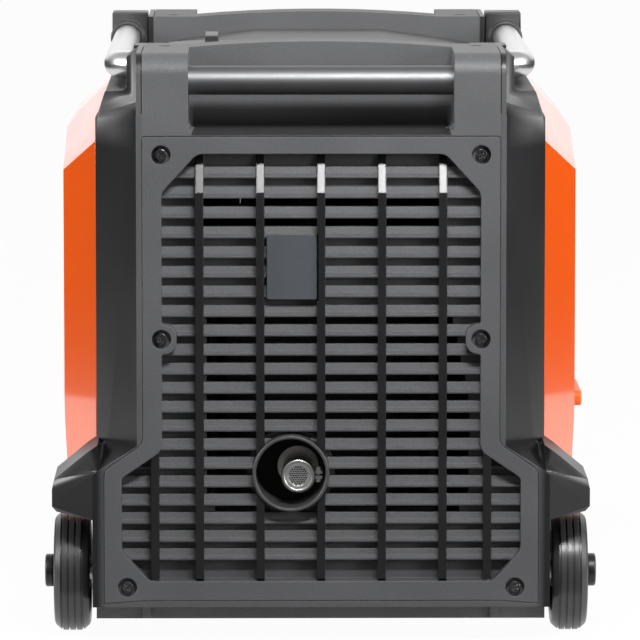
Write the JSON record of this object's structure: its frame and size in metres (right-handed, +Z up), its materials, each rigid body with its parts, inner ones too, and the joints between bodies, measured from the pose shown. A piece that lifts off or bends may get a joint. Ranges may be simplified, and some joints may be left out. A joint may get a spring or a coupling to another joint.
{
  "type": "inverter generator",
  "caption": "Wheeled inverter generator: louvred exhaust end, orange side panels, carrying bars, telescoping pull handle and a control end.",
  "frame": {"origin": "on the floor under the middle of the machine's box", "axes": "+Z up; -Y towards the exhaust end with the wheels, +Y towards the controls and the pull handle; +X to the right seen from the exhaust end, on the starter grip's side"},
  "size_m": [0.488, 0.67, 0.5219],
  "materials": {
    "cover_plastic": "black moulded plastic with a fine grain",
    "panel_plastic": "black moulded plastic, slightly lighter",
    "dark_plastic": "black plastic",
    "orange_gloss": "glossy orange",
    "orange_plastic": "orange plastic",
    "bar_steel": "dark silver satin paint",
    "rail_steel": "satin silver",
    "bright_steel": "bright, lightly stained",
    "mesh_steel": "bright",
    "sheet_steel": "bright sheet",
    "cast_alloy": "sand-cast",
    "forged_steel": "machined",
    "iron": "painted",
    "copper": "enamelled windings",
    "screw_black": "black",
    "tyre_rubber": "black rubber",
    "soft_rubber": "black rubber",
    "plate_grey": "bluish dark grey",
    "screen_glass": "dark glossy window",
    "red_plastic": "red",
    "green_plastic": "green",
    "brass_terminal": "bright",
    "rope_fibre": "braided"
  },
  "bodies": {
    "machine": {"rear_cover": "cover_plastic", "louvre_panel": "panel_plastic", "blank_plate": "plate_grey", "exhaust_shroud": "dark_plastic", "tail_pipe": "bright_steel", "spark_arrester": "mesh_steel", "arrester_clamp": "mesh_steel", "panel_screws": "screw_black", "carry_bars": "bar_steel", "front_cover": "cover_plastic", "control_panel": "panel_plastic", "display": "screen_glass", "duplex_outlets": "dark_plastic", "twist_lock_outlet": "dark_plastic", "low_voltage_sockets": "dark_plastic", "earth_terminal": "brass_terminal", "left_side_panel": "orange_gloss", "right_side_panel": "orange_gloss", "rope_guide": "dark_plastic", "recoil_housing": "dark_plastic", "top_cover": "cover_plastic", "fuel_tank": "dark_plastic", "side_rails": "rail_steel", "rail_brackets": "dark_plastic", "base_tray": "dark_plastic", "front_feet": "soft_rubber", "wheel_axle": "forged_steel", "axle_caps": "dark_plastic", "engine_block": "cast_alloy", "cylinder_head": "cast_alloy", "alternator_stator": "copper", "carburettor": "cast_alloy", "air_filter_box": "dark_plastic", "muffler": "bright_steel", "heat_shield": "sheet_steel", "inverter_module": "cast_alloy", "battery": "dark_plastic"},
    "wheel_left": {"tyre_left": "tyre_rubber", "rim_left": "dark_plastic"},
    "wheel_right": {"tyre_right": "tyre_rubber", "rim_right": "dark_plastic"},
    "crank": {"crankshaft": "forged_steel", "alternator_rotor": "iron", "cooling_fan": "dark_plastic"},
    "pull_handle": {"pull_handle": "rail_steel", "pull_grip": "soft_rubber"},
    "handle_lock": {"handle_lock_button": "orange_plastic"},
    "engine_dial": {"engine_dial": "orange_plastic"},
    "eco_switch": {"eco_switch": "dark_plastic"},
    "start_button": {"start_button": "green_plastic"},
    "ac_breaker": {"ac_breaker": "red_plastic"},
    "outlet_cover_left": {"outlet_cover_left": "dark_plastic"},
    "outlet_cover_right": {"outlet_cover_right": "dark_plastic"},
    "twist_lock_cover": {"twist_lock_cover": "dark_plastic"},
    "fuel_cap": {"fuel_cap": "dark_plastic"},
    "service_door": {"service_door": "orange_gloss"},
    "door_latch": {"door_latch": "dark_plastic"},
    "recoil_grip": {"recoil_grip": "orange_plastic", "starter_rope": "rope_fibre"},
    "recoil_pulley": {"recoil_pulley": "dark_plastic"}
  },
  "joints": [
    {"name": "wheel_left_spin", "type": "hinge", "parent": "machine", "child": "wheel_left", "pos_m": [-0.219, -0.258, 0.053], "axis": [1, 0, 0], "continuous": true},
    {"name": "wheel_right_spin", "type": "hinge", "parent": "machine", "child": "wheel_right", "pos_m": [0.219, -0.258, 0.053], "axis": [1, 0, 0], "continuous": true},
    {"name": "crank_spin", "type": "hinge", "parent": "machine", "child": "crank", "pos_m": [0.06, -0.02, 0.165], "axis": [1, 0, 0], "continuous": true},
    {"name": "pull_handle_slide", "type": "slide", "parent": "machine", "child": "pull_handle", "axis": [0, 1, 0], "range_m": [0, 0.24]},
    {"name": "handle_lock_press", "type": "slide", "parent": "pull_handle", "child": "handle_lock", "axis": [0, 0, -1], "range_m": [0, 0.003], "stiffness_N_per_m": 400, "springref_m": -0.001},
    {"name": "engine_dial_turn", "type": "hinge", "parent": "machine", "child": "engine_dial", "pos_m": [0.09, 0.305, 0.385], "axis": [0, 1, 0], "range_deg": [-45, 60]},
    {"name": "eco_switch_rock", "type": "hinge", "parent": "machine", "child": "eco_switch", "pos_m": [0.02, 0.299, 0.35], "axis": [1, 0, 0], "range_deg": [-9, 9]},
    {"name": "start_button_press", "type": "slide", "parent": "machine", "child": "start_button", "axis": [0, -1, 0], "range_m": [0, 0.003], "stiffness_N_per_m": 500, "springref_m": -0.001},
    {"name": "ac_breaker_press", "type": "slide", "parent": "machine", "child": "ac_breaker", "axis": [0, -1, 0], "range_m": [0, 0.003], "stiffness_N_per_m": 500, "springref_m": -0.001},
    {"name": "outlet_cover_left_lift", "type": "hinge", "parent": "machine", "child": "outlet_cover_left", "pos_m": [-0.088, 0.3048, 0.3062], "axis": [1, 0, 0], "range_deg": [0, 100], "stiffness_Nm_per_rad": 0.01, "springref_deg": -57.3},
    {"name": "outlet_cover_right_lift", "type": "hinge", "parent": "machine", "child": "outlet_cover_right", "pos_m": [-0.006, 0.3048, 0.3062], "axis": [1, 0, 0], "range_deg": [0, 100], "stiffness_Nm_per_rad": 0.01, "springref_deg": -57.3},
    {"name": "twist_lock_cover_lift", "type": "hinge", "parent": "machine", "child": "twist_lock_cover", "pos_m": [0.088, 0.3048, 0.3062], "axis": [1, 0, 0], "range_deg": [0, 100], "stiffness_Nm_per_rad": 0.01, "springref_deg": -57.3},
    {"name": "fuel_cap_turn", "type": "hinge", "parent": "machine", "child": "fuel_cap", "pos_m": [-0.098, -0.02, 0.495], "axis": [0, 0, 1], "range_deg": [0, 90]},
    {"name": "service_door_swing", "type": "hinge", "parent": "machine", "child": "service_door", "pos_m": [-0.2275, 0.062, 0.295], "axis": [0, 0, -1], "range_deg": [0, 100]},
    {"name": "door_latch_turn", "type": "hinge", "parent": "service_door", "child": "door_latch", "pos_m": [-0.225, -0.074, 0.295], "axis": [1, 0, 0], "range_deg": [0, 90]},
    {"name": "recoil_pull", "type": "slide", "parent": "machine", "child": "recoil_grip", "axis": [1, 0, 0], "range_m": [0, 0.45], "stiffness_N_per_m": 20, "springref_m": -0.3, "deforming": ["starter_rope"]},
    {"name": "recoil_pulley_spin", "type": "hinge", "parent": "machine", "child": "recoil_pulley", "pos_m": [0.15, -0.02, 0.165], "axis": [1, 0, 0], "range_deg": [0, 580]}
  ],
  "couplings": [
    {"joint": "recoil_pulley_spin", "follows": "recoil_pull", "rad_per_m": 22.222}
  ]
}
